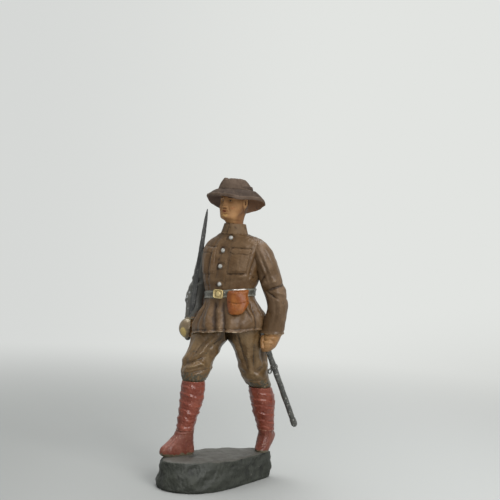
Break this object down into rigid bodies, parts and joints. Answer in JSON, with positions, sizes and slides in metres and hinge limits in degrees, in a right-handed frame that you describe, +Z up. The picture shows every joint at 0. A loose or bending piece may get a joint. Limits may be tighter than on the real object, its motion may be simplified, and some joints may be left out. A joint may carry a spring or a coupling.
{
  "type": "toy soldier figure",
  "caption": "Moulded composition toy figure of a marching officer in slouch hat, tunic, breeches and puttees, sword on the shoulder and scabbard in hand, on a rough base.",
  "frame": {"origin": "centre of the box round the base's underside", "axes": "+Z up from the base's underside, -Y the way the figure marches, +X the figure's left"},
  "size_m": [0.0291, 0.0369, 0.0788],
  "materials": {
    "base_paint": "dull grey-green paint on rough composition",
    "boot_paint": "glossy red-brown paint on composition",
    "puttee_paint": "glossy brick-red paint on composition",
    "breeches_paint": "glossy brown paint on composition",
    "tunic_paint": "glossy brown paint on composition",
    "skin_paint": "satin flesh paint on composition",
    "hat_paint": "satin dark brown paint on composition",
    "hat_band_paint": "satin dark paint on composition",
    "belt_paint": "satin silver-grey paint on composition",
    "buckle_paint": "brass-coloured paint on composition",
    "holster_paint": "glossy orange-brown paint on composition",
    "button_paint": "silver paint on composition",
    "sword_metal": "dark gunmetal paint on tin, worn",
    "guard_metal": "gold-coloured paint on tin, worn",
    "scabbard_metal": "dark gunmetal paint on tin, worn",
    "wire_metal": "bare iron wire"
  },
  "bodies": {
    "root": {"base": "base_paint", "right_boot": "boot_paint", "left_boot": "boot_paint", "right_puttee": "puttee_paint", "left_puttee": "puttee_paint", "right_breeches_leg": "breeches_paint", "left_breeches_leg": "breeches_paint", "tunic_body": "tunic_paint", "collar": "tunic_paint", "right_sleeve": "tunic_paint", "left_sleeve": "tunic_paint", "right_fist": "skin_paint", "left_fist": "skin_paint", "head": "skin_paint", "hat": "hat_paint", "hat_band": "hat_band_paint", "belt": "belt_paint", "belt_buckle": "buckle_paint", "holster": "holster_paint", "right_breast_pocket": "tunic_paint", "left_breast_pocket": "tunic_paint", "tunic_buttons": "button_paint", "sword_blade": "sword_metal", "sword_guard": "guard_metal", "sword_grip": "sword_metal", "scabbard": "scabbard_metal", "scabbard_band": "scabbard_metal", "carrying_ring": "scabbard_metal", "right_leg_wire": "wire_metal", "left_leg_wire": "wire_metal", "spine_wire": "wire_metal", "shoulder_wire": "wire_metal"}
  },
  "joints": []
}
